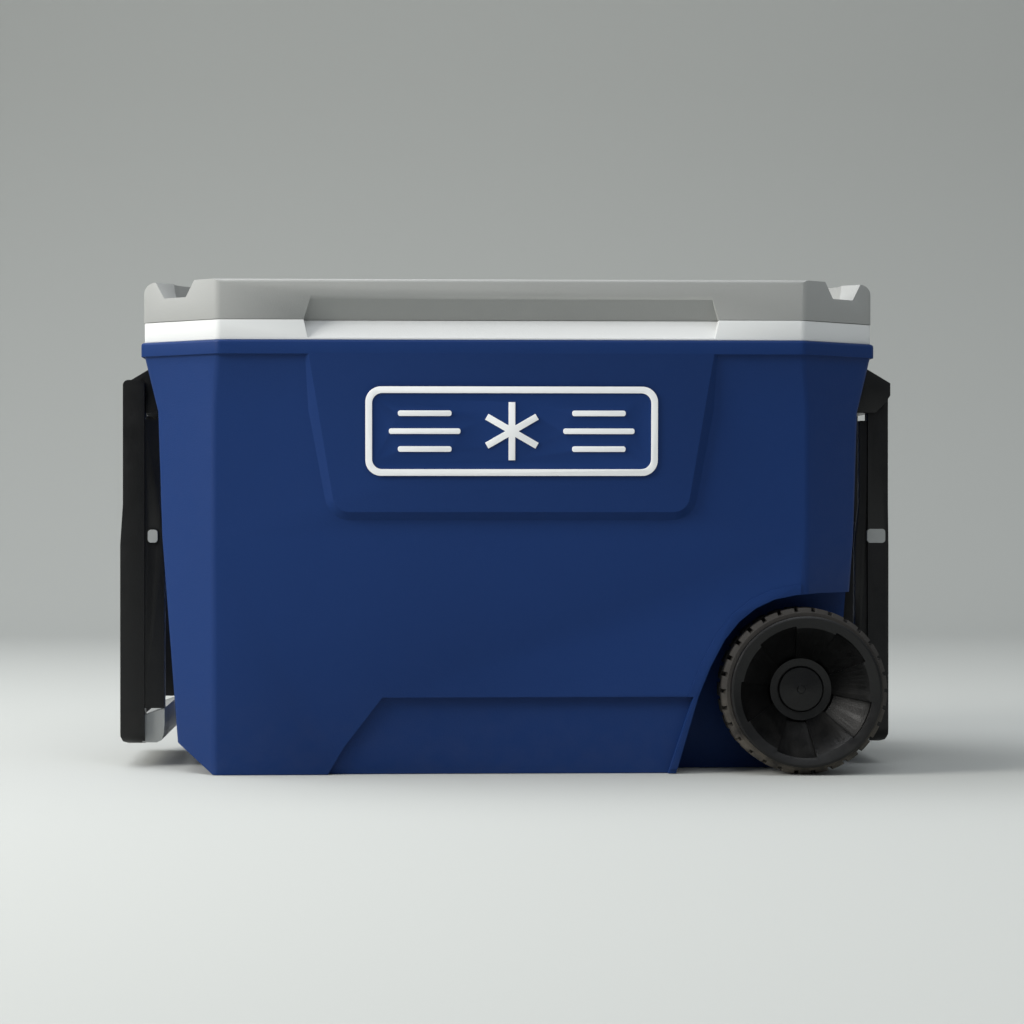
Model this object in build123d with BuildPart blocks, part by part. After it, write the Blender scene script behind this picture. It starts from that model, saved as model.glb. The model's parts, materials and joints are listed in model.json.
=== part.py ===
"""Hard cooler on two wheels: insulated tub, hinged lid, two swing handles, a drain and two wheels.

Units are millimetres. +X points to the wheel end, -Y to the front, +Z up; z = 0 is the ground.
"""
import os
from math import hypot

from build123d import *

os.makedirs("parts", exist_ok=True)

# ---- driving dimensions -------------------------------------------------------------------
RIM_HALF_X = 336.0  # blue rim, the widest band of the body
RIM_HALF_Y = 210.0
RIM_LEG_X = 73.0  # corner chamfer of the rim, along X and along Y
RIM_LEG_Y = 64.0
SEAM_BODY = 390.6  # body rim to liner flange
SEAM_LID = 408.6  # liner flange to lid
LID_TOP = 445.0
LID_GAP = 0.4  # closed lid stands this far above the flange
SHELL_WALL = 5.0
LINER_WALL = 4.0
WHEEL_R = 75.0
WHEEL_X = RIM_HALF_X - 71.0
WHEEL_FACE_Y = RIM_HALF_Y + 2.0  # outer face of each wheel, from the middle
WELL_Y = RIM_HALF_Y - 85.0  # inner wall of each wheel well
AXLE_R = 6.35
RUN_FIT = 0.06  # radial play of everything that turns
HINGE_X = RIM_HALF_X - 136.0
HINGE_Y = RIM_HALF_Y + 7.0
HINGE_Z = SEAM_LID + 0.2
HINGE_PIN_R = 3.0
HANDLE_HALF_Y = 99.0
HANDLE_ARM = 18.0
HANDLE_BOTTOM = 21.0
TOW_X = RIM_HALF_X + 11.0
TOW_Z = 349.0
LIFT_X = RIM_HALF_X + 11.5
LIFT_Z = 345.0
CUP_R = 42.0
CUP_DEPTH = 16.0
FLOOR_Z = 40.0
CORNER_ROUND = 10.0  # upright edges of the body, the flange and the lid
DRAIN_Z = 54.5
SPOUT_R = 11.0
FAR_X = RIM_HALF_X + 64.0  # cutting tools reach this far, past both ends
FAR_Y = RIM_HALF_Y + 50.0  # and this far, past front and rear

# body sections: height, half length, half depth, chamfer leg along X, chamfer leg along Y
SECTIONS = [
    (0.0, RIM_HALF_X - 35.5, RIM_HALF_Y - 25.0, 33.0, 33.0),
    (214.0, RIM_HALF_X - 19.3, RIM_HALF_Y - 14.0, 49.0, 46.0),
    (328.0, RIM_HALF_X - 15.6, RIM_HALF_Y - 11.0, 53.0, 50.0),
    (378.0, RIM_HALF_X - 3.0, RIM_HALF_Y - 3.5, 70.0, 62.0),
    (SEAM_BODY, RIM_HALF_X - 3.0, RIM_HALF_Y - 3.5, 70.0, 62.0),
]
TOP_SECTION = (RIM_HALF_X - 3.0, RIM_HALF_Y - 2.5, RIM_LEG_X - 3.0, RIM_LEG_Y - 1.0)


# ---- outlines -----------------------------------------------------------------------------
def octagon(half_x, half_y, leg_x, leg_y, inset=0.0):
    """Corner points of a chamfered rectangle, every side moved inward by inset."""
    reach = half_x / leg_x + half_y / leg_y - 1 - inset * hypot(1 / leg_x, 1 / leg_y)
    hx = half_x - inset
    hy = half_y - inset
    cx = leg_x * (reach - hy / leg_y)
    cy = leg_y * (reach - hx / leg_x)
    return [(hx, -cy), (hx, cy), (cx, hy), (-cx, hy), (-hx, cy), (-hx, -cy), (-cx, -hy), (cx, -hy)]


def section_at(z):
    """Body section at any height, between the listed ones."""
    for low, high in zip(SECTIONS, SECTIONS[1:]):
        if z <= high[0]:
            share = (z - low[0]) / (high[0] - low[0])
            return [a + (b - a) * share for a, b in zip(low[1:], high[1:])]
    return list(SECTIONS[-1][1:])


def body_form(inset, z_low, z_high, corner=0.0):
    """Solid of the body's outline between two heights, its walls moved inward by inset."""
    heights = [z_low] + [s[0] for s in SECTIONS if z_low < s[0] < z_high] + [z_high]
    with BuildPart() as form:
        for z in heights:
            with BuildSketch(Plane.XY.offset(z)):
                outline = Polygon(*octagon(*section_at(z), inset), align=None)
                if corner:
                    fillet(outline.vertices(), radius=corner)
        loft(ruled=True)
    return form.part


def prism(outline, z_low, z_high, corner=0.0):
    """Upright prism of one outline."""
    with BuildPart() as block:
        with BuildSketch(Plane.XY.offset(z_low)):
            face = Polygon(*outline, align=None)
            if corner:
                fillet(face.vertices(), radius=corner)
        extrude(amount=z_high - z_low)
    return block.part


def side_prism(points, y_low, y_high, grow=0.0):
    """Prism of an outline in X and Z, running along Y."""
    with BuildPart() as block:
        with BuildSketch(Plane.XZ.offset(-y_high)):
            Polygon(*points, align=None)
            if grow:
                offset(amount=grow, kind=Kind.INTERSECTION)
        extrude(amount=y_high - y_low)
    return block.part


def end_prism(points, x_low, x_high):
    """Prism of an outline in Y and Z, running along X."""
    with BuildPart() as block:
        with BuildSketch(Plane.YZ.offset(x_low)):
            Polygon(*points, align=None)
        extrude(amount=x_high - x_low)
    return block.part


def rod(centre, direction, radius, length):
    """Cylinder starting at centre and running along direction."""
    with BuildPart() as bar:
        with BuildSketch(Plane(origin=centre, z_dir=direction)):
            Circle(radius)
        extrude(amount=length)
    return bar.part


def screw(seat, direction, shank_r, shank_length, head_r, head_height):
    """Pan head screw: the head rests on the seat point, the shank runs along direction."""
    back = tuple(-d for d in direction)
    with BuildPart() as fastener:
        with BuildSketch(Plane(origin=seat, z_dir=back)):
            Circle(head_r)
        extrude(amount=head_height)
        fillet(fastener.edges().sort_by(SortBy.LENGTH)[-2:], radius=head_height * 0.3)
        with BuildSketch(Plane(origin=seat, z_dir=direction)):
            Circle(shank_r)
        extrude(amount=shank_length)
        top = tuple(s + b * head_height for s, b in zip(seat, back))
        with BuildSketch(Plane(origin=top, z_dir=direction)):
            RegularPolygon(head_r * 0.45, 6)
        extrude(amount=head_height * 0.5, mode=Mode.SUBTRACT)
    return fastener.part


def save(part, name):
    """Label one piece and write its file."""
    part.label = name
    export_step(part, f"parts/{name}.step")


# ---- wheel wells --------------------------------------------------------------------------
# from the wheel's centre: straight run of the arch, then its curve up and over the wheel
ARCH = [(-95.5, -5.3), (-84.5, 22.0), (-72.0, 46.0), (-59.0, 62.5), (-44.0, 74.5), (-27.0, 82.5)]
ARCH += [(-7.0, 86.6), (15.0, 88.0), (135.0, 88.5)]
WELL_LOW = -30.0
WELL = [(WHEEL_X - 124, WELL_LOW)] + [(WHEEL_X + a, WHEEL_R + b) for a, b in ARCH]
WELL.append((WHEEL_X + 135, WELL_LOW))
STRIP_WIDTH = 9.0
STRIP_PROUD = 1.6
WELL_FOAM = 12.0


def wells(grow):
    """Both wheel wells, their walls moved outward by grow."""
    front = side_prism(WELL, -FAR_Y, -(WELL_Y - grow), grow)
    rear = side_prism(WELL, WELL_Y - grow, FAR_Y, grow)
    return front, rear


# ---- body shell ---------------------------------------------------------------------------
RIM_LOW = 378.0
PANEL_TOP = 380.0
PANEL_LOW = 238.0
PANEL_PROUD = 6.4  # how far the panel face leans in from top to bottom
PANEL_TOP_HALF = 188.0
PANEL_LOW_HALF = 153.0
PANEL_BASE_Y = RIM_HALF_Y - 25.0
PANEL_SPREAD = 20.0  # 45 degree flank from the face back to the base plane
RECESS_DEPTH = 7.0
RECESS_TOP = WHEEL_R - 5.5
RECESS = [(220 - RIM_HALF_X, RECESS_TOP), (WHEEL_X - 100, RECESS_TOP), (WHEEL_X - 124, -5)]
RECESS += [(168 - RIM_HALF_X, -5), (185 - RIM_HALF_X, 24)]
BEVEL_RUN = 34.0
BEVEL_RISE = 27.0

outer = body_form(0, 0, SEAM_BODY, CORNER_ROUND)
lean = PANEL_PROUD / (PANEL_TOP - PANEL_LOW)
face_low = RIM_HALF_Y - PANEL_PROUD - lean * 20
panel_back = RIM_HALF_Y - 60
panel_side = [(-panel_back, PANEL_LOW - 20), (-face_low, PANEL_LOW - 20)]
panel_side += [(-RIM_HALF_Y, PANEL_TOP), (-panel_back, PANEL_TOP)]
top_wide = PANEL_TOP_HALF + PANEL_SPREAD + 8
panel_front = [
    (-top_wide, PANEL_TOP + 40),
    (top_wide, PANEL_TOP + 40),
    (PANEL_LOW_HALF + PANEL_SPREAD, PANEL_LOW - PANEL_SPREAD),
    (-PANEL_LOW_HALF - PANEL_SPREAD, PANEL_LOW - PANEL_SPREAD),
]
with BuildPart() as panel:
    with BuildSketch(Plane.XZ.offset(PANEL_BASE_Y)) as panel_sketch:
        Polygon(*panel_front, align=None)
        fillet(panel_sketch.vertices().group_by(Axis.Y)[0], radius=34)
    extrude(amount=27, taper=45)
    add(end_prism(panel_side, -RIM_HALF_X, RIM_HALF_X), mode=Mode.INTERSECT)

proud_form = body_form(-STRIP_PROUD, 4, 200, CORNER_ROUND)
STRIP_END_X = WHEEL_X - 3.0
STRIP_BACK_Y = RIM_HALF_Y - 70.0
front_well, rear_well = wells(0)
front_wall, rear_wall = wells(SHELL_WALL - 0.5)

strip_span = [(0, -50), (STRIP_END_X, -50), (STRIP_END_X, 300), (0, 300)]
with BuildPart() as front_strip:
    add(side_prism(WELL, -FAR_Y, -STRIP_BACK_Y, STRIP_WIDTH))
    add(side_prism(strip_span, -FAR_Y, -STRIP_BACK_Y), mode=Mode.INTERSECT)
    add(proud_form, mode=Mode.INTERSECT)
with BuildPart() as rear_strip:
    add(side_prism(WELL, STRIP_BACK_Y, FAR_Y, STRIP_WIDTH))
    add(side_prism(strip_span, STRIP_BACK_Y, FAR_Y), mode=Mode.INTERSECT)
    add(proud_form, mode=Mode.INTERSECT)
with BuildPart() as recess:
    add(side_prism(RECESS, -FAR_Y, -(RIM_HALF_Y - 90)))
    add(body_form(RECESS_DEPTH, 0, 120), mode=Mode.SUBTRACT)

# height and wall inset of the hollow in the shell; the wall moves in behind the recess
inner_levels = [(SHELL_WALL, 13.0), (78.0, 13.0), (92.0, SHELL_WALL)]
inner_levels += [(level, SHELL_WALL) for level in (214.0, 328.0, 374.0, SEAM_BODY)]
with BuildPart() as shell_void:
    for level, inset in inner_levels:
        with BuildSketch(Plane.XY.offset(level)):
            Polygon(*octagon(*section_at(level), inset), align=None)
    loft(ruled=True)
    for end in (-1, 1):
        high = BEVEL_RISE + 16
        wedge = [(FAR_X, -10), (FAR_X, high), (RIM_HALF_X - 46, high), (RIM_HALF_X - 93, -10)]
        add(side_prism([(end * a, b) for a, b in wedge], -FAR_Y, FAR_Y), mode=Mode.SUBTRACT)
    add(front_wall, mode=Mode.SUBTRACT)
    add(rear_wall, mode=Mode.SUBTRACT)

BRACKET_SCREW_Y = 45.0
BRACKET_SCREW_Z = 334.8
BRACKET_HEAD_R = 5.0
BOSS_R = 14.0
HUB_BACK = WHEEL_FACE_Y - 83.0

with BuildPart() as body_shell:
    add(outer)
    with BuildSketch(Plane.XY.offset(RIM_LOW)):
        rim = Polygon(*octagon(RIM_HALF_X, RIM_HALF_Y, RIM_LEG_X, RIM_LEG_Y), align=None)
        fillet(rim.vertices(), radius=CORNER_ROUND)
    extrude(amount=SEAM_BODY - RIM_LOW)
    fillet(body_shell.faces().sort_by(Axis.Z)[-1].edges(), radius=2.5)
    add(panel.part)
    add(front_strip.part)
    add(rear_strip.part)
    add(recess.part, mode=Mode.SUBTRACT)
    for end in (-1, 1):
        corner = [
            (end * (SECTIONS[0][1] + 2 - BEVEL_RUN), 0),
            (end * (SECTIONS[0][1] + 2), BEVEL_RISE),
            (end * FAR_X, BEVEL_RISE + 80),
            (end * FAR_X, -20),
            (end * (SECTIONS[0][1] + 2 - BEVEL_RUN - 25), -20),
        ]
        add(side_prism(corner, -FAR_Y, FAR_Y), mode=Mode.SUBTRACT)
    add(front_well, mode=Mode.SUBTRACT)
    add(rear_well, mode=Mode.SUBTRACT)
    add(shell_void.part, mode=Mode.SUBTRACT)
    for side in (-1, 1):
        add(rod((WHEEL_X, side * (WELL_Y - 2), WHEEL_R), (0, side, 0), BOSS_R, HUB_BACK - WELL_Y + 1.6))
    add(rod((WHEEL_X, -FAR_Y, WHEEL_R), (0, 1, 0), AXLE_R, 2 * FAR_Y), mode=Mode.SUBTRACT)
    add(rod((WHEEL_X - 35, 0, DRAIN_Z), (1, 0, 0), SPOUT_R, 120), mode=Mode.SUBTRACT)

# ---- tub liner ----------------------------------------------------------------------------
CAVITY_TOP = (RIM_HALF_X - 46.0, RIM_HALF_Y - 45.0, 62.0, 55.0)
CAVITY_LOW = (RIM_HALF_X - 74.0, RIM_HALF_Y - 60.0, 40.0, 40.0)
CHANNEL_TOP = SEAM_LID - 5.0
STEP_X = WHEEL_X - 29.0
STEP_Z = WHEEL_R + 29.0
GROOVE_HALF = 186.0  # finger groove at the seam, narrower at the lip and at the rim
GROOVE_TOP_HALF = 179.0
GROOVE_LOW_HALF = 182.0
GROOVE_DEPTH = 14.0


def cavity_form(grow):
    """The cold space: a tapered tub with a bump over each wheel well and a step over the axle."""
    low = FLOOR_Z - grow
    with BuildPart() as space:
        with BuildSketch(Plane.XY.offset(low)):
            Polygon(*octagon(*CAVITY_LOW, -grow), align=None)
        with BuildSketch(Plane.XY.offset(SEAM_LID + 1)):
            Polygon(*octagon(*CAVITY_TOP, -grow), align=None)
        loft(ruled=True)
        rise = SHELL_WALL - 0.5 + WELL_FOAM + LINER_WALL - grow
        for bump in wells(rise):
            add(bump, mode=Mode.SUBTRACT)
        step = [(STEP_X + grow, 0), (STEP_X + grow, STEP_Z - grow), (FAR_X, STEP_Z - grow), (FAR_X, 0)]
        add(side_prism(step, -FAR_Y, FAR_Y), mode=Mode.SUBTRACT)
    return space.part


cavity = cavity_form(0)
tub_outer = cavity_form(LINER_WALL)
with BuildPart() as channel:
    add(prism(octagon(*TOP_SECTION, 22), SEAM_BODY, CHANNEL_TOP))
    add(tub_outer, mode=Mode.SUBTRACT)


def groove_cut(profile, z_high, z_low, half_high, half_low):
    """Part of the finger groove: its profile in Y and Z, cut off by slanted ends."""
    slope = (half_low - half_high) / (z_high - z_low)
    top = half_high - slope * 30
    bottom = half_low + slope * 30
    with BuildPart() as cut:
        add(end_prism(profile, -FAR_X, FAR_X))
        ends = [(-top, z_high + 30), (top, z_high + 30), (bottom, z_low - 30), (-bottom, z_low - 30)]
        add(side_prism(ends, -FAR_Y, 0), mode=Mode.INTERSECT)
    return cut.part


groove_low = [
    (-TOP_SECTION[1] + GROOVE_DEPTH, SEAM_LID + 1),
    (-TOP_SECTION[1] + GROOVE_DEPTH, SEAM_LID - 1),
    (-TOP_SECTION[1] + 1, SEAM_BODY + 2),
    (-TOP_SECTION[1] - 10, SEAM_BODY + 2),
    (-TOP_SECTION[1] - 10, SEAM_LID + 1),
]
with BuildPart() as tub_liner:
    add(prism(octagon(*TOP_SECTION), SEAM_BODY, SEAM_LID, CORNER_ROUND))
    add(channel.part, mode=Mode.SUBTRACT)
    add(tub_outer)
    add(prism(octagon(*TOP_SECTION, -20), SEAM_LID, SEAM_LID + 5), mode=Mode.SUBTRACT)
    add(cavity, mode=Mode.SUBTRACT)
    add(groove_cut(groove_low, SEAM_LID, SEAM_BODY, GROOVE_HALF, GROOVE_LOW_HALF), mode=Mode.SUBTRACT)
    add(rod((STEP_X - 26, 0, DRAIN_Z), (1, 0, 0), SPOUT_R, 120), mode=Mode.SUBTRACT)

with BuildPart() as insulation_foam:
    add(shell_void.part)
    add(channel.part)
    add(tub_outer, mode=Mode.SUBTRACT)
    add(rod((WHEEL_X, -FAR_Y, WHEEL_R), (0, 1, 0), AXLE_R, 2 * FAR_Y), mode=Mode.SUBTRACT)
    add(rod((STEP_X - 26, 0, DRAIN_Z), (1, 0, 0), SPOUT_R, 120), mode=Mode.SUBTRACT)

# ---- lid ----------------------------------------------------------------------------------
LID_LOW = SEAM_LID + LID_GAP
LID_SECTION = (RIM_HALF_X - 2.4, RIM_HALF_Y - 2.5, 70.0, 63.0)
LID_TOP_WALL = 4.0
LID_INSET = 22.0
LIP_LOW = 429.0
PLUG_DEPTH = 12.0
PLUG_GAP = 5.0
END_ROUND = 11.0
FRONT_ROUND = 3.5
CUP_FROM_CORNER = 54.0
CUP_SHIFT = 4.5  # cups and notches sit this far towards the ends, along the chamfer
NOTCH_TOP = 50.0
NOTCH_LOW = 28.0
NOTCH_FLOOR = LID_TOP - CUP_DEPTH + 1.0

corner_mid_x = LID_SECTION[0] - LID_SECTION[2] / 2
corner_mid_y = LID_SECTION[1] - LID_SECTION[3] / 2
cup_x = corner_mid_x + CUP_SHIFT - CUP_FROM_CORNER * 0.7071
cup_y = corner_mid_y - CUP_SHIFT - CUP_FROM_CORNER * 0.7071
CUPS = [(sx * cup_x, sy * cup_y) for sx in (-1, 1) for sy in (-1, 1)]


def cup_cut(x, y, grow):
    """Cup holder and its drain notch through the lid's corner, walls moved outward by grow."""
    out_x = 0.7071 if x > 0 else -0.7071
    out_y = 0.7071 if y > 0 else -0.7071
    floor = LID_TOP - CUP_DEPTH - grow
    notch_floor = NOTCH_FLOOR - grow
    tall = 30.0
    side = (NOTCH_TOP - NOTCH_LOW) / 2 / (LID_TOP - NOTCH_FLOOR)
    half = NOTCH_LOW / 2 + grow
    with BuildPart() as cut:
        with BuildSketch(Plane.XY.offset(floor)):
            with Locations((x, y)):
                Circle(CUP_R + grow)
        extrude(amount=tall)
        notch = Plane(origin=(x, y, notch_floor), x_dir=(-out_y, out_x, 0), z_dir=(out_x, out_y, 0))
        up = 1 if notch.y_dir.Z > 0 else -1
        with BuildSketch(notch):
            wide = half + side * tall
            Polygon((-half, 0), (half, 0), (wide, up * tall), (-wide, up * tall), align=None)
        extrude(amount=CUP_FROM_CORNER + 25)
    return cut.part


def rounded_slab(plane, half, radius):
    """Wide slab the height of the lid with its two top edges rounded."""
    with BuildPart() as slab:
        with BuildSketch(plane) as face:
            Polygon((-half, 0), (half, 0), (half, LID_TOP), (-half, LID_TOP), align=None)
            fillet(face.vertices().group_by(Axis.Y)[-1], radius=radius)
        extrude(amount=FAR_X, both=True)
    return slab.part


lip_cut = [
    (-LID_SECTION[1] + GROOVE_DEPTH, SEAM_LID - 5),
    (-LID_SECTION[1] + GROOVE_DEPTH, LID_LOW),
    (-LID_SECTION[1] + 5, LIP_LOW - 5),
    (-LID_SECTION[1] + 1.5, LIP_LOW - 2),
    (-LID_SECTION[1], LIP_LOW + 1.5),
    (-LID_SECTION[1] - 10, LIP_LOW + 1.5),
    (-LID_SECTION[1] - 10, SEAM_LID - 5),
]
lid_plug = octagon(*CAVITY_TOP, PLUG_GAP)
lid_plug_in = octagon(*CAVITY_TOP, PLUG_GAP + LINER_WALL)
with BuildPart() as lid_void:
    add(prism(octagon(*LID_SECTION, LID_INSET), LID_LOW, LID_TOP - LID_TOP_WALL))
    for cup in CUPS:
        add(cup_cut(*cup, LID_TOP_WALL), mode=Mode.SUBTRACT)

with BuildPart() as lid_shell:
    add(prism(octagon(*LID_SECTION), LID_LOW, LID_TOP, CORNER_ROUND))
    add(rounded_slab(Plane.XZ, LID_SECTION[0], END_ROUND), mode=Mode.INTERSECT)
    add(rounded_slab(Plane.YZ, LID_SECTION[1], FRONT_ROUND), mode=Mode.INTERSECT)
    for cup in CUPS:
        add(cup_cut(*cup, 0), mode=Mode.SUBTRACT)
    add(groove_cut(lip_cut, LIP_LOW + 2, LID_LOW, GROOVE_TOP_HALF, GROOVE_HALF), mode=Mode.SUBTRACT)
    add(lid_void.part, mode=Mode.SUBTRACT)

with BuildPart() as lid_liner:
    add(prism(octagon(*LID_SECTION, LID_INSET), LID_LOW, LID_LOW + LINER_WALL))
    add(prism(lid_plug, LID_LOW - PLUG_DEPTH, LID_LOW + 1))
    add(prism(lid_plug_in, LID_LOW - PLUG_DEPTH + LINER_WALL, LID_LOW + 10), mode=Mode.SUBTRACT)

with BuildPart() as lid_foam:
    add(lid_void.part)
    add(prism(lid_plug_in, LID_LOW - PLUG_DEPTH + LINER_WALL, LID_LOW + 1))
    add(lid_liner.part, mode=Mode.SUBTRACT)

# ---- lid hinges ---------------------------------------------------------------------------
LEAF_HALF = 30.0
KNUCKLE_R = 5.6
KNUCKLE_HALF = 9.7
LEAF_THICK = 3.0
LEAF_TALL = 26.0
LEAF_CLEAR = 7.6
HINGE_SCREW_X = 18.0
body_leaf_y = RIM_HALF_Y
lid_leaf_y = LID_SECTION[1]


def hinge_leaf(x, z_low, z_high, back_y, neck_z, knuckles, bore):
    """Flat leaf with knuckles round the hinge axis; knuckles lists their X spans from the middle."""
    with BuildPart() as leaf:
        add(prism([(x - LEAF_HALF, back_y), (x + LEAF_HALF, back_y), (x + LEAF_HALF, back_y + LEAF_THICK),
                   (x - LEAF_HALF, back_y + LEAF_THICK)], z_low, z_high))
        for start, end in knuckles:
            if neck_z < HINGE_Z:
                neck = [(back_y, HINGE_Z), (back_y, neck_z), (back_y + LEAF_THICK, neck_z),
                        (HINGE_Y + 4, HINGE_Z)]
            else:
                neck = [(back_y, LID_LOW + 0.4), (back_y, neck_z), (back_y + LEAF_THICK, neck_z),
                        (HINGE_Y + 4, HINGE_Z + 2), (HINGE_Y, LID_LOW + 0.4)]
            add(end_prism(neck, x + start, x + end))
            add(rod((x + start, HINGE_Y, HINGE_Z), (1, 0, 0), KNUCKLE_R, end - start))
        add(rod((x - 50, HINGE_Y, HINGE_Z), (1, 0, 0), bore, 100), mode=Mode.SUBTRACT)
        middle = (z_low + z_high) / 2
        for screw_x in (-HINGE_SCREW_X, HINGE_SCREW_X):
            add(rod((x + screw_x, back_y - 5, middle), (0, 1, 0), 2.5, 20), mode=Mode.SUBTRACT)
    return leaf.part


hinge_parts = {}
body_low = HINGE_Z - LEAF_CLEAR - LEAF_TALL
lid_low = HINGE_Z + LEAF_CLEAR
screw_cuts = []
for side, tag in ((-1, "left"), (1, "right")):
    hx = side * HINGE_X
    split_at = KNUCKLE_HALF + 0.5
    body_spans = [(-LEAF_HALF, -split_at), (split_at, LEAF_HALF)]
    body_leaf = hinge_leaf(hx, body_low, SEAM_BODY - 2.2, body_leaf_y, body_low + 10, body_spans, HINGE_PIN_R)
    lid_spans = [(-KNUCKLE_HALF, KNUCKLE_HALF)]
    lid_bore = HINGE_PIN_R + RUN_FIT
    lid_leaf = hinge_leaf(hx, lid_low, lid_low + LEAF_TALL, lid_leaf_y, lid_low + 2, lid_spans, lid_bore)
    hinge_parts[f"hinge_body_leaf_{tag}"] = body_leaf
    hinge_parts[f"hinge_lid_leaf_{tag}"] = lid_leaf
    pin_start = (hx - LEAF_HALF, HINGE_Y, HINGE_Z)
    hinge_parts[f"hinge_pin_{tag}"] = rod(pin_start, (1, 0, 0), HINGE_PIN_R, 2 * LEAF_HALF)
    for number, screw_x in ((1, -HINGE_SCREW_X), (2, HINGE_SCREW_X)):
        body_seat = (hx + screw_x, body_leaf_y + LEAF_THICK, (body_low + SEAM_BODY - 2.2) / 2)
        lid_seat = (hx + screw_x, lid_leaf_y + LEAF_THICK, lid_low + LEAF_TALL / 2)
        hinge_parts[f"hinge_body_screw_{tag}_{number}"] = screw(body_seat, (0, -1, 0), 2.5, 14, 4.5, 2.4)
        hinge_parts[f"hinge_lid_screw_{tag}_{number}"] = screw(lid_seat, (0, -1, 0), 2.5, 14, 4.5, 2.4)
        screw_cuts.append(("body", rod(body_seat, (0, -1, 0), 2.5, 14)))
        screw_cuts.append(("lid", rod(lid_seat, (0, -1, 0), 2.5, 14)))

# ---- handle brackets and pins -------------------------------------------------------------
BLOCK_HALF_Y = HANDLE_HALF_Y - HANDLE_ARM - 0.6
LIFT_HALF_Y = HANDLE_HALF_Y + 13.0
PIN_R = 4.0
PIN_COVER = 4.0  # plastic left over each end of a pin
BRACKET_NOSE = 9.5  # bracket past its pin
SLOT_REACH = 10.4  # room for the arm round its pin
SCREW_SEAT = RIM_HALF_X + 8.0


def bracket(side, half_y, slot_x, slot_z, slots):
    """Wedge-roofed block on the end wall; slots leave room for the handle's arms."""
    nose = slot_x + BRACKET_NOSE
    back = RIM_HALF_X - 36.0
    outline = [(back, 374), (nose - 26, 372), (nose, 356.5), (nose, 345), (nose - 4, 339), (nose - 14, 329)]
    outline.append((back, 329))
    with BuildPart() as block:
        add(side_prism([(side * a, b) for a, b in outline], -half_y, half_y))
        if slots:
            near = slot_x - SLOT_REACH
            roof = slot_z + SLOT_REACH
            gap = [(near, 300), (near, roof), (FAR_X, roof), (FAR_X, 300)]
            for hand in (-1, 1):
                low, high = sorted((hand * (HANDLE_HALF_Y - HANDLE_ARM - 0.6), hand * (HANDLE_HALF_Y + 0.6)))
                add(side_prism([(side * a, b) for a, b in gap], low, high), mode=Mode.SUBTRACT)
        add(outer, mode=Mode.SUBTRACT)
        reach = half_y - PIN_COVER if slots else half_y + 1
        add(rod((side * slot_x, -reach, slot_z), (0, 1, 0), PIN_R, 2 * reach), mode=Mode.SUBTRACT)
    return block.part


tow_bracket = bracket(-1, BLOCK_HALF_Y, TOW_X, TOW_Z, False)
lift_bracket = bracket(1, LIFT_HALF_Y, LIFT_X, LIFT_Z, True)
tow_reach = HANDLE_HALF_Y - PIN_COVER - 0.3
tow_pin = rod((-TOW_X, -tow_reach, TOW_Z), (0, 1, 0), PIN_R, 2 * tow_reach)
lift_reach = LIFT_HALF_Y - PIN_COVER
lift_pin = rod((LIFT_X, -lift_reach, LIFT_Z), (0, 1, 0), PIN_R, 2 * lift_reach)

bracket_screws = {}
for side, tag in ((-1, "tow"), (1, "lift")):
    for number, hand in ((1, -1), (2, 1)):
        seat = (side * SCREW_SEAT, hand * BRACKET_SCREW_Y, BRACKET_SCREW_Z)
        fixing = screw(seat, (-side, 0, 0), 3.0, 36, BRACKET_HEAD_R, 3.0)
        bracket_screws[f"{tag}_bracket_screw_{number}"] = fixing

# ---- handles ------------------------------------------------------------------------------
MID_BAR_Z = 214.0
BAR_TALL = 25.0
ARM_TOP = 10.0
GRIP_TOP = 54.0
WEB_Y = 94.0
WEB_TOP = 322.0
BEND_HIGH = 244.0  # the arms bend outward between these two heights
BEND_LOW = 206.0
# per handle: side, pivot, half thickness of the arm, depth of the web behind it, how far its lower
# half leans out, then the middle bar's centre from the pivot, its width and its height
HANDLES = {
    "tow": (-1, TOW_X, TOW_Z, 10.0, 18.0, 2.5, -17.5, 9.0, 12.0),
    "lift": (1, LIFT_X, LIFT_Z, 9.5, 11.0, 0.5, -1.5, 17.0, 13.0),
}


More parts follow.
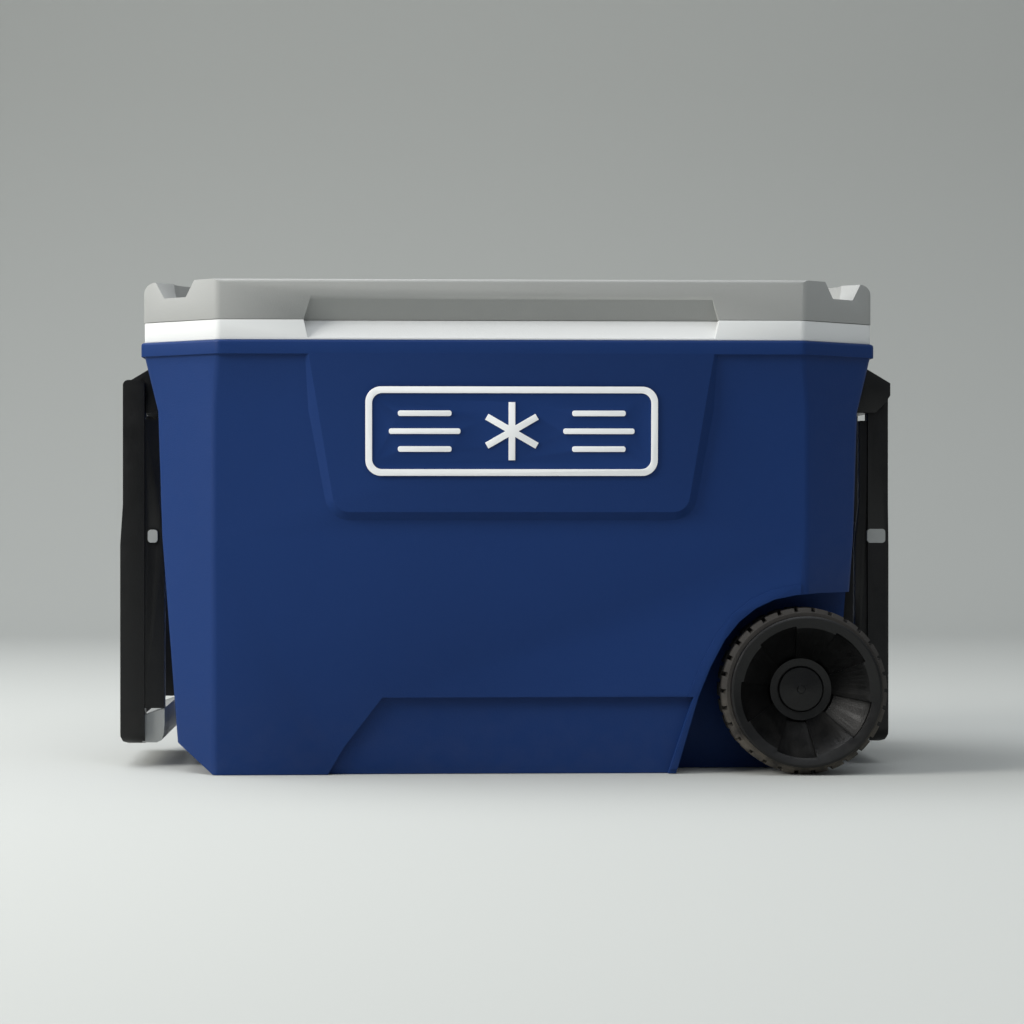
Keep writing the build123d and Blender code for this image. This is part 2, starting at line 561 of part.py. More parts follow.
def handle_frame(side, x, pivot_z, half, web, lean_out, bar_x, bar_wide, bar_tall):
    """Open loop with two arms and an end bar; the outer faces of the arms lean out below the middle."""
    top = pivot_z + ARM_TOP
    inner = x - half
    web_x = inner - web
    top_round = 5.0 if side < 0 else half - 0.5  # the lift arms turn inside their slots
    outline = [
        (x + half, top), (x + half, BEND_HIGH), (x + half + lean_out, BEND_LOW),
        (x + half + lean_out, HANDLE_BOTTOM + 7), (x + half + lean_out - 2, HANDLE_BOTTOM + 2),
        (x + half + lean_out - 7, HANDLE_BOTTOM), (inner, HANDLE_BOTTOM), (inner, top),
    ]
    with BuildPart() as frame:
        with BuildSketch(Plane.XZ.offset(-HANDLE_HALF_Y)) as arm:
            Polygon(*[(side * a, b) for a, b in outline], align=None)
            fillet(arm.vertices().group_by(Axis.Y)[-1], radius=top_round)
        extrude(amount=2 * HANDLE_HALF_Y)
        rib = [(inner + 4, WEB_TOP), (web_x + 4, WEB_TOP), (web_x + 4, BEND_HIGH), (web_x, BEND_LOW),
               (web_x, GRIP_TOP), (inner + 4, GRIP_TOP)]
        add(side_prism([(side * a, b) for a, b in rib], -WEB_Y, WEB_Y))
        with BuildSketch(Plane.YZ.offset(side * x - 60)):
            with Locations((0, (HANDLE_BOTTOM + 400) / 2)):
                RectangleRounded(2 * HANDLE_HALF_Y, 400 - HANDLE_BOTTOM, 14)
            inside = 2 * (HANDLE_HALF_Y - HANDLE_ARM)
            low = HANDLE_BOTTOM + BAR_TALL
            with Locations((0, (low + 460) / 2)):
                RectangleRounded(inside, 460 - low, 8, mode=Mode.SUBTRACT)
        extrude(amount=120, mode=Mode.INTERSECT)
        add(mid_bar(side, x, bar_x, bar_wide, bar_tall), mode=Mode.SUBTRACT)
        add(end_grip(side, x, half, web), mode=Mode.SUBTRACT)
        bore = HANDLE_HALF_Y - PIN_COVER if side < 0 else HANDLE_HALF_Y + 1
        add(rod((side * x, -bore, pivot_z), (0, 1, 0), PIN_R + RUN_FIT, 2 * bore), mode=Mode.SUBTRACT)
    return frame.part


def mid_bar(side, x, bar_x, bar_wide, bar_tall):
    """Straight bar through both arms; its ends show on the outside of the arms."""
    mid = side * (x + bar_x)
    with BuildPart() as bar:
        with BuildSketch(Plane.XZ.offset(-HANDLE_HALF_Y)):
            with Locations((mid, MID_BAR_Z)):
                RectangleRounded(bar_wide, bar_tall, 3)
        extrude(amount=2 * HANDLE_HALF_Y)
    return bar.part


def end_grip(side, x, half, web):
    """Soft pad over the inner half of the end bar."""
    inner = x - half
    web_x = inner - web
    points = [(inner + 2.5, HANDLE_BOTTOM + 1), (web_x + 7, HANDLE_BOTTOM + 1),
              (web_x + 3, HANDLE_BOTTOM + 3), (web_x + 1, HANDLE_BOTTOM + 8),
              (web_x, HANDLE_BOTTOM + 18), (web_x, GRIP_TOP),
              (inner + 2.5, HANDLE_BOTTOM + BAR_TALL + 1)]
    return side_prism([(side * a, b) for a, b in points], 1 - WEB_Y, WEB_Y - 1)


def mid_sleeve(side, x, bar_x, bar_wide, bar_tall):
    """Ribbed rubber sleeve round the middle bar between the arms."""
    mid = side * (x + bar_x)
    half_y = HANDLE_HALF_Y - HANDLE_ARM - 0.5
    wide = bar_wide + 8
    tall = bar_tall + 11
    ribs = 20
    pitch = 2 * half_y / ribs
    with BuildPart() as sleeve:
        with BuildSketch(Plane.XZ.offset(-half_y)):
            with Locations((mid, MID_BAR_Z)):
                RectangleRounded(wide, tall, 7)
        extrude(amount=2 * half_y)
        for index in range(1, ribs):
            with BuildSketch(Plane.XZ.offset(-half_y + pitch * index - 1)):
                with Locations((mid, MID_BAR_Z)):
                    Rectangle(60, 60)
                    RectangleRounded(wide - 2.4, tall - 2.4, 6, mode=Mode.SUBTRACT)
            extrude(amount=2, mode=Mode.SUBTRACT)
        add(mid_bar(side, x, bar_x, bar_wide, bar_tall), mode=Mode.SUBTRACT)
    return sleeve.part


handle_parts = {}
for tag, (side, x, z, half, web, lean_out, bar_x, bar_wide, bar_tall) in HANDLES.items():
    frame = handle_frame(side, x, z, half, web, lean_out, bar_x, bar_wide, bar_tall)
    handle_parts[f"{tag}_handle_frame"] = frame
    handle_parts[f"{tag}_handle_mid_bar"] = mid_bar(side, x, bar_x, bar_wide, bar_tall)
    handle_parts[f"{tag}_handle_end_grip"] = end_grip(side, x, half, web)
    handle_parts[f"{tag}_handle_sleeve"] = mid_sleeve(side, x, bar_x, bar_wide, bar_tall)

# ---- wheels -------------------------------------------------------------------------------
FLANGE_R = 68.0
RIM_R = 66.0
DISH_R = 57.5
POCKET_R = 59.5
HUB_CAP_R = 21.0
AXLE_END = 51.0
# depth behind the outer face and radius, from the dish round the rim and back through the hub
wheel_profile = [(3, DISH_R), (1, DISH_R + 6), (0, FLANGE_R - 2), (0.8, FLANGE_R), (12, FLANGE_R)]
wheel_profile += [(12, RIM_R), (62, RIM_R), (62, RIM_R + 2.5), (66, RIM_R + 2.5), (66, 61), (16, 62)]
wheel_profile += [(52, 31), (52, 20), (83, 20), (83, AXLE_R + RUN_FIT), (58, AXLE_R + RUN_FIT)]
wheel_profile += [(58, 16), (42, 16), (42, 28)]
with BuildPart() as wheel_disc:
    with BuildSketch(Plane.XZ):
        Polygon(*[(r, d) for d, r in wheel_profile], align=None)
    revolve(axis=Axis.Z)
    for index in range(5):
        with BuildSketch(Plane.XZ.rotated((0, 0, 9 + 72 * index))):
            Polygon((28.5, 45), (POCKET_R, 9), (POCKET_R, -2), (28.5, -2), align=None)
        revolve(axis=Axis.Z, revolution_arc=36, mode=Mode.SUBTRACT)

with BuildPart() as tyre:
    with BuildSketch(Plane.XZ):
        Polygon((RIM_R, 12), (71, 12), (WHEEL_R, 16), (WHEEL_R, 58), (71, 62), (RIM_R, 62), align=None)
    revolve(axis=Axis.Z)
    with BuildSketch(Plane.XZ):
        Polygon((72, 35.5), (80, 35.5), (80, 38.5), (72, 38.5), align=None)
    revolve(axis=Axis.Z, mode=Mode.SUBTRACT)
    for row, low in ((0, 10.0), (0.5, 38.0)):
        with BuildSketch(Plane.XY.offset(low)):
            with PolarLocations(WHEEL_R, 30, start_angle=row * 12):
                Rectangle(6.5, 4)
        extrude(amount=26, mode=Mode.SUBTRACT)

with BuildPart() as hub_cap:
    with BuildSketch(Plane.XZ):
        Polygon((0, 42), (HUB_CAP_R, 42), (HUB_CAP_R, 40.5), (HUB_CAP_R - 1.5, 39), (0, 38), align=None)
    revolve(axis=Axis.Z)
    with BuildSketch(Plane.XY.offset(42)):
        Circle(15.8)
        Circle(13.4, mode=Mode.SUBTRACT)
    extrude(amount=7)
    with BuildSketch(Plane.XY.offset(39)):
        Circle(3.6)
    extrude(amount=-2.6)


def place_wheel(part, hand):
    """Set a wheel piece, made round Z from its outer face inward, on the axle."""
    seat = Plane(origin=(WHEEL_X, hand * WHEEL_FACE_Y, WHEEL_R), x_dir=(1, 0, 0), z_dir=(0, -hand, 0))
    with BuildPart() as placed:
        with Locations(seat.location):
            add(part)
    return placed.part


axle_half = WHEEL_FACE_Y - AXLE_END
axle = rod((WHEEL_X, -axle_half, WHEEL_R), (0, 1, 0), AXLE_R, 2 * axle_half)
with BuildPart() as push_nut:
    with BuildSketch(Plane.XY.offset(54.2)):
        Circle(11)
        Circle(AXLE_R, mode=Mode.SUBTRACT)
    extrude(amount=3.3)

# ---- drain --------------------------------------------------------------------------------
wall_x = section_at(DRAIN_Z)[0]
SPOUT_BORE = 8.0
FLANGE_X = STEP_X - 2.0
with BuildPart() as drain_spout:
    add(rod((FLANGE_X, 0, DRAIN_Z), (1, 0, 0), SPOUT_R + 2.5, 2))
    add(rod((STEP_X, 0, DRAIN_Z), (1, 0, 0), SPOUT_R, wall_x - STEP_X + 14))
    add(rod((STEP_X - 3, 0, DRAIN_Z), (1, 0, 0), SPOUT_BORE, 120), mode=Mode.SUBTRACT)
with BuildPart() as drain_nut:
    with BuildSketch(Plane.YZ.offset(wall_x + 1.0)):
        with Locations((0, DRAIN_Z)):
            RegularPolygon(SPOUT_R + 5, 6)
            Circle(SPOUT_R, mode=Mode.SUBTRACT)
    extrude(amount=3.5)
with BuildPart() as drain_cap:
    add(rod((wall_x + 6, 0, DRAIN_Z), (1, 0, 0), SPOUT_R + 4, 13))
    fillet(drain_cap.faces().sort_by(Axis.X)[-1].edges(), radius=2)
    add(rod((wall_x + 5, 0, DRAIN_Z), (1, 0, 0), SPOUT_R + RUN_FIT, 11.5), mode=Mode.SUBTRACT)
    with BuildSketch(Plane.YZ.offset(wall_x + 5)):
        with Locations((0, DRAIN_Z)):
            with PolarLocations(SPOUT_R + 4.6, 16):
                Circle(1.3)
    extrude(amount=11, mode=Mode.SUBTRACT)
with BuildPart() as drain_seal:
    add(rod((wall_x + 14.4, 0, DRAIN_Z), (1, 0, 0), SPOUT_R - 0.4, 2.1))
    add(rod((wall_x + 10, 0, DRAIN_Z), (1, 0, 0), 5, 10), mode=Mode.SUBTRACT)

# ---- badge --------------------------------------------------------------------------------
BADGE_LONG = 262.0
BADGE_TALL = 80.0
BADGE_Z = 309.0
badge_y = -(RIM_HALF_Y - lean * (PANEL_TOP - BADGE_Z))
tilt = Plane(origin=(0, badge_y, BADGE_Z), x_dir=(1, 0, 0), z_dir=(0, -1, -lean))
with BuildPart() as badge:
    with BuildSketch(tilt):
        RectangleRounded(BADGE_LONG, BADGE_TALL, 14)
        RectangleRounded(BADGE_LONG - 12, BADGE_TALL - 12, 9, mode=Mode.SUBTRACT)
    extrude(amount=2.2)
    with BuildSketch(tilt):
        RectangleRounded(BADGE_LONG - 10, BADGE_TALL - 10, 9)
    extrude(amount=1.0)
    with BuildSketch(tilt):
        for angle in (0, 60, 120):
            with Locations(Location((0, 0, 0), (0, 0, angle))):
                Rectangle(6, 52)
        for hand in (-1, 1):
            for row in (-16, 0, 16):
                with Locations((hand * 78, row)):
                    RectangleRounded(64 - abs(row), 5, 2)
    extrude(amount=2.2)

# ---- fixings through the body and the lid, then the files ---------------------------------
with BuildPart() as shell_done:
    add(body_shell.part)
    for place, cut in screw_cuts:
        if place == "body":
            add(cut, mode=Mode.SUBTRACT)
    for fixing in bracket_screws.values():
        add(fixing, mode=Mode.SUBTRACT)
with BuildPart() as foam_done:
    add(insulation_foam.part)
    for place, cut in screw_cuts:
        if place == "body":
            add(cut, mode=Mode.SUBTRACT)
    for fixing in bracket_screws.values():
        add(fixing, mode=Mode.SUBTRACT)
with BuildPart() as lid_done:
    add(lid_shell.part)
    for place, cut in screw_cuts:
        if place == "lid":
            add(cut, mode=Mode.SUBTRACT)
head_room = BRACKET_HEAD_R + 0.3
with BuildPart() as tow_bracket_done:
    add(tow_bracket)
    for fixing in bracket_screws.values():
        add(fixing, mode=Mode.SUBTRACT)
    for number in (-1, 1):
        seat = (-SCREW_SEAT, number * BRACKET_SCREW_Y, BRACKET_SCREW_Z)
        add(rod(seat, (-1, 0, 0), head_room, 60), mode=Mode.SUBTRACT)
with BuildPart() as lift_bracket_done:
    add(lift_bracket)
    for fixing in bracket_screws.values():
        add(fixing, mode=Mode.SUBTRACT)
    for number in (-1, 1):
        seat = (SCREW_SEAT, number * BRACKET_SCREW_Y, BRACKET_SCREW_Z)
        add(rod(seat, (1, 0, 0), head_room, 60), mode=Mode.SUBTRACT)

pieces = {
    "body_shell": shell_done.part,
    "insulation_foam": foam_done.part,
    "tub_liner": tub_liner.part,
    "badge": badge.part,
    "lid_shell": lid_done.part,
    "lid_foam": lid_foam.part,
    "lid_liner": lid_liner.part,
    "tow_bracket": tow_bracket_done.part,
    "lift_bracket": lift_bracket_done.part,
    "tow_pin": tow_pin,
    "lift_pin": lift_pin,
    "axle": axle,
    "drain_spout": drain_spout.part,
    "drain_nut": drain_nut.part,
    "drain_cap": drain_cap.part,
    "drain_seal": drain_seal.part,
}
pieces.update(hinge_parts)
pieces.update(bracket_screws)
pieces.update(handle_parts)
for hand, tag in ((-1, "front"), (1, "rear")):
    pieces[f"{tag}_wheel"] = place_wheel(wheel_disc.part, hand)
    pieces[f"{tag}_tyre"] = place_wheel(tyre.part, hand)
    pieces[f"{tag}_hub_cap"] = place_wheel(hub_cap.part, hand)
    pieces[f"{tag}_axle_nut"] = place_wheel(push_nut.part, hand)

for name, part in pieces.items():
    save(part, name)
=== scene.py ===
import json
import math

import bmesh
import bpy
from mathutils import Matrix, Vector


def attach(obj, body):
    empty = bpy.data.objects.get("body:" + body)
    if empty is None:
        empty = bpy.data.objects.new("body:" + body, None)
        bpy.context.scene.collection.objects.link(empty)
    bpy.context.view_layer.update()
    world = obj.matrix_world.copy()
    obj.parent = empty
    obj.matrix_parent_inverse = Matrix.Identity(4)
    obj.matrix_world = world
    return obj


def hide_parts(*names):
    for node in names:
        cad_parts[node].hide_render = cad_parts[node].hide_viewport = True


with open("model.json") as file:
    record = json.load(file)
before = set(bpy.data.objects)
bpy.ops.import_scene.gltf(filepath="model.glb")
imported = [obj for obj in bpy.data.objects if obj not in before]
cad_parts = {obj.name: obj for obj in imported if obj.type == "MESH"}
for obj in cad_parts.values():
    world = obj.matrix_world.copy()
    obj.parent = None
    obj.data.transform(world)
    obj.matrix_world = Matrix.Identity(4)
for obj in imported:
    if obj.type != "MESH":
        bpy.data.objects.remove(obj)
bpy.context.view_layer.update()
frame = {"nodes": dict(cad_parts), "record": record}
BODY_OF = {node: body for body, nodes in frame["record"]["behaviour"]["bodies"].items() for node in nodes}
SLOT_OF = {s["node"]: s["material_slot"] for s in frame["record"]["subparts"]}
# the two handle pins look black, as the brackets round them do
SLOT_OF["tow_pin"] = SLOT_OF["lift_pin"] = "black_plastic"

# ---- moulded finish: lengths in metres, noise scales in patches per metre -----------------------
CLOUD_SCALE = 5.0
SPECK_SCALE = 60.0
TONE_SWING = 0.03
WEAR_MOST = 0.3
DUST_HEIGHT = 0.09
DUST_ROUGHENS = 0.3
GRAIN_HEIGHT = 0.0004

BLUE = (0.0065, 0.0285, 0.120)
BLUE_WORN = (0.02, 0.05, 0.17)
GREY_WORN = (0.42, 0.42, 0.41)
BLACK_WORN = (0.03, 0.03, 0.03)
FINISHES = {
    "blue_plastic": dict(
        colour=BLUE, worn=BLUE_WORN, rough=0.5, dust=0.02, grain=700.0, depth=0.35, shine=0.15
    ),
    "grey_plastic": dict(
        colour=(0.31, 0.315, 0.305), worn=GREY_WORN, rough=0.55, dust=0.0, grain=700.0, depth=0.35, shine=0.25
    ),
    "white_plastic": dict(
        colour=(0.62, 0.63, 0.625), worn=(0.68, 0.68, 0.68), rough=0.5, dust=0.03, grain=700.0, depth=0.2
    ),
    "foam": dict(
        colour=(0.80, 0.74, 0.50), worn=(0.8, 0.8, 0.7), rough=0.9, dust=0.0, grain=400.0, depth=0.8
    ),
    "badge_plastic": dict(
        colour=BLUE, worn=BLUE_WORN, rough=0.5, dust=0.0, grain=900.0, depth=0.1, shine=0.15
    ),
    "badge_white": dict(
        colour=(0.80, 0.81, 0.81), worn=(0.82, 0.82, 0.82), rough=0.5, dust=0.0, grain=900.0, depth=0.1
    ),
    "steel": dict(
        colour=(0.45, 0.45, 0.46), worn=(0.6, 0.6, 0.6), rough=0.35, dust=0.1, grain=500.0, depth=0.1,
        metallic=1.0, shine=0.5,
    ),
    "hinge_plastic": dict(
        colour=(0.010, 0.010, 0.011), worn=(0.05, 0.05, 0.05), rough=0.5, dust=0.05, grain=800.0, depth=0.25
    ),
    "tyre": dict(
        colour=(0.026, 0.0235, 0.021), worn=(0.20, 0.18, 0.15), rough=0.8, dust=0.4, grain=500.0, depth=0.6
    ),
    "grip_rubber": dict(
        colour=(0.006, 0.006, 0.006), worn=BLACK_WORN, rough=0.7, dust=0.05, grain=600.0, depth=0.5
    ),
    "grip_grey": dict(
        colour=(0.30, 0.31, 0.30), worn=GREY_WORN, rough=0.4, dust=0.05, grain=700.0, depth=0.2, shine=0.5
    ),
    "black_plastic": dict(
        colour=(0.0022, 0.0022, 0.0023), worn=BLACK_WORN, rough=0.34, dust=0.02, grain=700.0, depth=0.25
    ),
}

# ---- moulded edges ------------------------------------------------------------------------------
SHELL_ROUND = 0.0025
LINER_ROUND = 0.0015
WHEEL_ROUND = 0.0006
CAP_ROUND = 0.0005
BADGE_ROUND = 0.0004
EDGE_ROUND = {
    "body_shell": SHELL_ROUND,
    "lid_shell": SHELL_ROUND,
    "tub_liner": LINER_ROUND,
    "tow_bracket": LINER_ROUND,
    "lift_bracket": LINER_ROUND,
    "tow_handle_frame": SHELL_ROUND,
    "lift_handle_frame": SHELL_ROUND,
    "front_wheel": WHEEL_ROUND,
    "rear_wheel": WHEEL_ROUND,
    "front_tyre": WHEEL_ROUND,
    "rear_tyre": WHEEL_ROUND,
    "front_hub_cap": CAP_ROUND,
    "rear_hub_cap": CAP_ROUND,
}
ROUND_SEGMENTS = 3
SHARP_FROM = math.radians(25.0)
FLAT_WITHIN = math.radians(0.6)
SMOOTH_BELOW = math.radians(30.0)
MERGE_WITHIN = 1e-5

# ---- badge --------------------------------------------------------------------------------------
PANEL_LEAN = math.radians(2.58)
LINE_RELIEF = 0.0009

# ---- backdrop: a floor that bends up into a wall -------------------------------------------------
BACKDROP_HALF = 5.0
BACKDROP_FRONT = -6.0
BACKDROP_TOP = 5.0
BEND_R = 1.2
BEND_Y = 2.6
BEND_STEPS = 12
FLOOR_DROP = 0.0005
X_AXIS = (1, 0, 0)

# ---- camera -------------------------------------------------------------------------------------
LENS = 102.2
SENSOR = 36.0
YAW = math.radians(2.23)
PITCH = math.radians(0.14)
STAND_OFF = 2.60
AIM = Vector((0.0, -0.210, 0.243))
SEES_AS_FAR_AS = 60.0


# ---- shader nodes -------------------------------------------------------------------------------
def feed(tree, socket, value):
    """Link a value that is another node's socket, or set a plain number."""
    if isinstance(value, bpy.types.NodeSocket):
        tree.links.new(value, socket)
    else:
        socket.default_value = value


def new_group(name, inputs, outputs):
    """Shader node group with its sockets; returns the tree, its input node and its output node."""
    tree = bpy.data.node_groups.new(name, "ShaderNodeTree")
    for label, kind, value in inputs:
        tree.interface.new_socket(label, in_out="INPUT", socket_type=kind).default_value = value
    for label, kind in outputs:
        tree.interface.new_socket(label, in_out="OUTPUT", socket_type=kind)
    return tree, tree.nodes.new("NodeGroupInput"), tree.nodes.new("NodeGroupOutput")


def noise(tree, coords, scale, detail, rough):
    """Noise over the given coordinates."""
    node = tree.nodes.new("ShaderNodeTexNoise")
    feed(tree, node.inputs["Vector"], coords)
    feed(tree, node.inputs["Scale"], scale)
    feed(tree, node.inputs["Detail"], detail)
    feed(tree, node.inputs["Roughness"], rough)
    return node.outputs["Fac"]


def ramp(tree, source, low, high, to_low=0.0, to_high=1.0):
    """The source's stretch from low to high, spread over to_low to to_high."""
    node = tree.nodes.new("ShaderNodeMapRange")
    feed(tree, node.inputs["Value"], source)
    feed(tree, node.inputs["From Min"], low)
    feed(tree, node.inputs["From Max"], high)
    feed(tree, node.inputs["To Min"], to_low)
    feed(tree, node.inputs["To Max"], to_high)
    return node.outputs["Result"]


def calculate(tree, kind, a, b):
    """One sum or product of two values, each a socket or a number."""
    node = tree.nodes.new("ShaderNodeMath")
    node.operation = kind
    feed(tree, node.inputs[0], a)
    feed(tree, node.inputs[1], b)
    return node.outputs[0]


def mix_colour(tree, factor, a, b):
    """Colour that goes from a to b as the factor rises."""
    node = tree.nodes.new("ShaderNodeMix")
    node.data_type = "RGBA"
    feed(tree, node.inputs["Factor"], factor)
    feed(tree, node.inputs["A"], a)
    feed(tree, node.inputs["B"], b)
    return node.outputs["Result"]


def moulded_group():
    """Moulded plastic: soft colour clouding, dust low down, worn edges, a fine pebble grain."""
    tree, enter, leave = new_group(
        "moulded_plastic",
        [
            ("Colour", "NodeSocketColor", (0.5, 0.5, 0.5, 1)),
            ("Worn", "NodeSocketColor", (0.6, 0.6, 0.6, 1)),
            ("Dust", "NodeSocketColor", (0.35, 0.31, 0.25, 1)),
            ("Dust Amount", "NodeSocketFloat", 0.3),
            ("Rough", "NodeSocketFloat", 0.45),
            ("Grain Scale", "NodeSocketFloat", 900.0),
            ("Grain Depth", "NodeSocketFloat", 0.15),
        ],
        [("Colour", "NodeSocketColor"), ("Roughness", "NodeSocketFloat"), ("Normal", "NodeSocketVector")],
    )
    place = tree.nodes.new("ShaderNodeTexCoord").outputs["Object"]
    cloud = noise(tree, place, CLOUD_SCALE, detail=4.0, rough=0.55)
    speck = noise(tree, place, SPECK_SCALE, detail=4.0, rough=0.6)
    grain = noise(tree, place, enter.outputs["Grain Scale"], detail=2.0, rough=0.5)

    # clouding
    clouded = tree.nodes.new("ShaderNodeVectorMath")
    clouded.operation = "SCALE"
    feed(tree, clouded.inputs[0], enter.outputs["Colour"])
    feed(tree, clouded.inputs["Scale"], ramp(tree, cloud, 0.3, 0.7, 1 - TONE_SWING, 1 + TONE_SWING))

    # wear, on the faces that soften() marks
    edge = tree.nodes.new("ShaderNodeAttribute")
    edge.attribute_name = "edge"
    wear = calculate(tree, "MULTIPLY", edge.outputs["Fac"], ramp(tree, speck, 0.45, 0.7))
    wear = calculate(tree, "MULTIPLY", wear, WEAR_MOST)
    colour = mix_colour(tree, wear, clouded.outputs["Vector"], enter.outputs["Worn"])

    # dust, thickest at the ground
    split = tree.nodes.new("ShaderNodeSeparateXYZ")
    feed(tree, split.inputs[0], place)
    low_down = ramp(tree, split.outputs["Z"], 0.0, DUST_HEIGHT, 1.0, 0.0)
    dusty = calculate(tree, "MULTIPLY", low_down, ramp(tree, speck, 0.35, 0.75))
    dusty = calculate(tree, "MULTIPLY", dusty, enter.outputs["Dust Amount"])
    feed(tree, leave.inputs["Colour"], mix_colour(tree, dusty, colour, enter.outputs["Dust"]))

    # roughness
    rough = calculate(tree, "ADD", enter.outputs["Rough"], ramp(tree, speck, 0.3, 0.7, -0.05, 0.07))
    rough = calculate(tree, "ADD", rough, calculate(tree, "MULTIPLY", dusty, DUST_ROUGHENS))
    feed(tree, leave.inputs["Roughness"], rough)

    # grain
    bump = tree.nodes.new("ShaderNodeBump")
    feed(tree, bump.inputs["Distance"], GRAIN_HEIGHT)
    feed(tree, bump.inputs["Strength"], enter.outputs["Grain Depth"])
    feed(tree, bump.inputs["Height"], grain)
    feed(tree, leave.inputs["Normal"], bump.outputs["Normal"])
    return tree


MOULDED = moulded_group()


def plastic(name, colour, worn, rough, dust, grain, depth, metallic=0.0, shine=0.35):
    """Material on the moulded group: its colours, roughness, dust, and the grain's scale and depth."""
    material = bpy.data.materials.new(name)
    material.use_nodes = True
    tree = material.node_tree
    shader = tree.nodes["Principled BSDF"]
    group = tree.nodes.new("ShaderNodeGroup")
    group.node_tree = MOULDED
    feed(tree, group.inputs["Colour"], (*colour, 1))
    feed(tree, group.inputs["Worn"], (*worn, 1))
    feed(tree, group.inputs["Dust Amount"], dust)
    feed(tree, group.inputs["Rough"], rough)
    feed(tree, group.inputs["Grain Scale"], grain)
    feed(tree, group.inputs["Grain Depth"], depth)
    feed(tree, shader.inputs["Base Color"], group.outputs["Colour"])
    feed(tree, shader.inputs["Roughness"], group.outputs["Roughness"])
    feed(tree, shader.inputs["Normal"], group.outputs["Normal"])
    feed(tree, shader.inputs["Metallic"], metallic)
    feed(tree, shader.inputs["Specular IOR Level"], shine)
    return material


MATERIALS = {name: plastic(name, **finish) for name, finish in FINISHES.items()}


# ---- pieces -------------------------------------------------------------------------------------
def smooth_shade(mesh):
    """Smooth shading, with a crease where faces meet at more than the smoothing angle."""
    for face in mesh.polygons:
        face.use_smooth = True
    mesh.set_sharp_from_angle(angle=SMOOTH_BELOW)


def soften(node, width, materials=None):
    """Copy of a node with rounded moulded edges, kept in the node's own box and shown in its place."""
    source = frame["nodes"][node]
    mesh = bpy.data.meshes.new(node + "_soft")
    bm = bmesh.new()
    bm.from_mesh(source.data)
    bmesh.ops.remove_doubles(bm, verts=bm.verts, dist=MERGE_WITHIN)
    bmesh.ops.dissolve_limit(bm, angle_limit=FLAT_WITHIN, verts=bm.verts, edges=bm.edges)
    bmesh.ops.recalc_face_normals(bm, faces=bm.faces)
    wear = bm.faces.layers.float.new("edge")
    made = bmesh.ops.bevel(
        bm,
        geom=[e for e in bm.edges if len(e.link_faces) == 2 and e.calc_face_angle(0.0) > SHARP_FROM],
        offset=width,
        offset_type="OFFSET",
        affect="EDGES",
        segments=ROUND_SEGMENTS,
        profile=0.5,
        clamp_overlap=True,
        material=-1,
    )
    for face in made["faces"]:
        face[wear] = 1.0
    for axis in range(3):
        reach = [v.co[axis] for v in source.data.vertices]
        least, most = min(reach), max(reach)
        for vert in bm.verts:
            vert.co[axis] = min(max(vert.co[axis], least), most)
    bm.to_mesh(mesh)
    bm.free()
    obj = bpy.data.objects.new(node + "_soft", mesh)
    bpy.context.scene.collection.objects.link(obj)
    smooth_shade(mesh)
    for name in materials or [SLOT_OF[node]]:
        mesh.materials.append(MATERIALS[name])
    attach(obj, BODY_OF[node])
    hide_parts(node)
    return obj


def two_tone_badge():
    """Badge with a plate in the body's blue and its raised lines in white."""
    badge = soften("badge", BADGE_ROUND, ["badge_plastic", "badge_white"])
    outward = Vector((0, -math.cos(PANEL_LEAN), -math.sin(PANEL_LEAN)))
    raised = max(v.co.dot(outward) for v in badge.data.vertices) - LINE_RELIEF
    for face in badge.data.polygons:
        if face.center.dot(outward) > raised:
            face.material_index = 1


for node, obj in frame["nodes"].items():
    obj.data.materials.clear()
    obj.data.materials.append(MATERIALS[SLOT_OF[node]])
for node, width in EDGE_ROUND.items():
    soften(node, width)
two_tone_badge()


# ---- stage, light, camera -----------------------------------------------------------------------
def draw_out(bm, edge, by):
    """Draws an edge along a vector into a strip, and returns the strip's far edge."""
    made = bmesh.ops.extrude_edge_only(bm, edges=[edge])["geom"]
    ends = [item for item in made if isinstance(item, bmesh.types.BMVert)]
    bmesh.ops.translate(bm, verts=ends, vec=by)
    return bm.edges.get(ends)


def backdrop():
    """Pale floor that curves up into a wall."""
    mesh = bpy.data.meshes.new("backdrop")
    bm = bmesh.new()
    ends = [bm.verts.new((x, BACKDROP_FRONT, -FLOOR_DROP)) for x in (-BACKDROP_HALF, BACKDROP_HALF)]
    floor_end = draw_out(bm, bm.edges.new(ends), (0, BEND_Y - BACKDROP_FRONT, 0))
    bend = bmesh.ops.spin(
        bm,
        geom=[floor_end, *floor_end.verts],
        cent=(0, BEND_Y, BEND_R - FLOOR_DROP),
        axis=X_AXIS,
        angle=math.radians(90),
        steps=BEND_STEPS,
    )
    wall_foot = next(item for item in bend["geom_last"] if isinstance(item, bmesh.types.BMEdge))
    draw_out(bm, wall_foot, (0, 0, BACKDROP_TOP - BEND_R))
    bmesh.ops.recalc_face_normals(bm, faces=bm.faces)
    bm.to_mesh(mesh)
    bm.free()
    smooth_shade(mesh)
    paint = bpy.data.materials.new("backdrop_paint")
    paint.use_nodes = True
    shader = paint.node_tree.nodes["Principled BSDF"]
    shader.inputs["Base Color"].default_value = (0.42, 0.43, 0.41, 1)
    shader.inputs["Roughness"].default_value = 0.95
    mesh.materials.append(paint)
    obj = bpy.data.objects.new("backdrop", mesh)
    bpy.context.scene.collection.objects.link(obj)


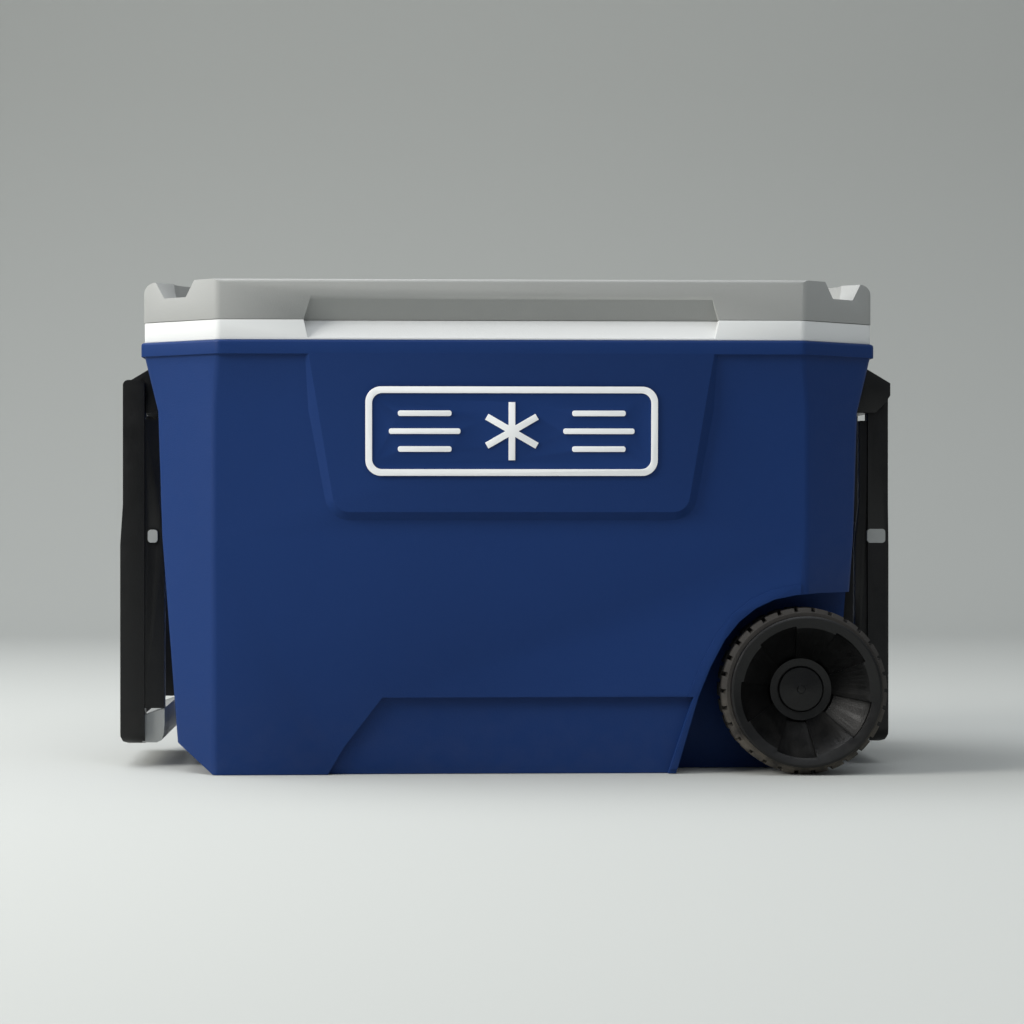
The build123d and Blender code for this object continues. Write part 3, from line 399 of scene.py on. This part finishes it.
def studio_world():
    """Dim light from all round, brighter from above."""
    world = bpy.data.worlds.new("studio")
    bpy.context.scene.world = world
    world.use_nodes = True
    tree = world.node_tree
    background = tree.nodes["Background"]
    background.inputs["Color"].default_value = (0.90, 0.95, 1.0, 1)
    direction = tree.nodes.new("ShaderNodeSeparateXYZ")
    feed(tree, direction.inputs[0], tree.nodes.new("ShaderNodeTexCoord").outputs["Generated"])
    strength = ramp(tree, direction.outputs["Z"], 0.0, 0.8, to_low=0.10, to_high=0.75)
    feed(tree, background.inputs["Strength"], strength)
    bpy.context.scene.view_settings.view_transform = "Standard"


def area_light(name, place, target, size, power, colour):
    """Rectangular light at a place, turned to a target."""
    data = bpy.data.lights.new(name, "AREA")
    data.shape = "RECTANGLE"
    data.size, data.size_y = size
    data.energy = power
    data.color = colour
    light = bpy.data.objects.new(name, data)
    light.location = place
    light.rotation_mode = "QUATERNION"
    light.rotation_quaternion = (Vector(target) - Vector(place)).to_track_quat("-Z", "Y")
    bpy.context.scene.collection.objects.link(light)


def front_camera():
    """Camera straight ahead but for a few degrees, level with the middle of the body."""
    data = bpy.data.cameras.new("camera")
    data.lens = LENS
    data.sensor_width = SENSOR
    data.clip_end = SEES_AS_FAR_AS
    camera = bpy.data.objects.new("camera", data)
    level = Vector((math.sin(YAW), math.cos(YAW), 0.0))
    camera.location = AIM - level * STAND_OFF
    camera.rotation_mode = "QUATERNION"
    forward = level * math.cos(PITCH) - Vector((0, 0, math.sin(PITCH)))
    camera.rotation_quaternion = forward.to_track_quat("-Z", "Y")
    bpy.context.scene.collection.objects.link(camera)
    bpy.context.scene.camera = camera


backdrop()
studio_world()
area_light("key", (-2.7, -1.3, 1.7), (0, 0, 0.25), size=(1.4, 1.4), power=95, colour=(1.0, 0.98, 0.94))
area_light("sky", (-1.3, 0.5, 2.6), (0, 0, 0.25), size=(2.2, 2.0), power=65, colour=(0.97, 0.98, 1.0))
area_light("fill", (0.2, -2.0, 3.2), (0, 0, 0.1), size=(2.5, 1.5), power=33, colour=(0.95, 0.97, 1.0))
front_camera()
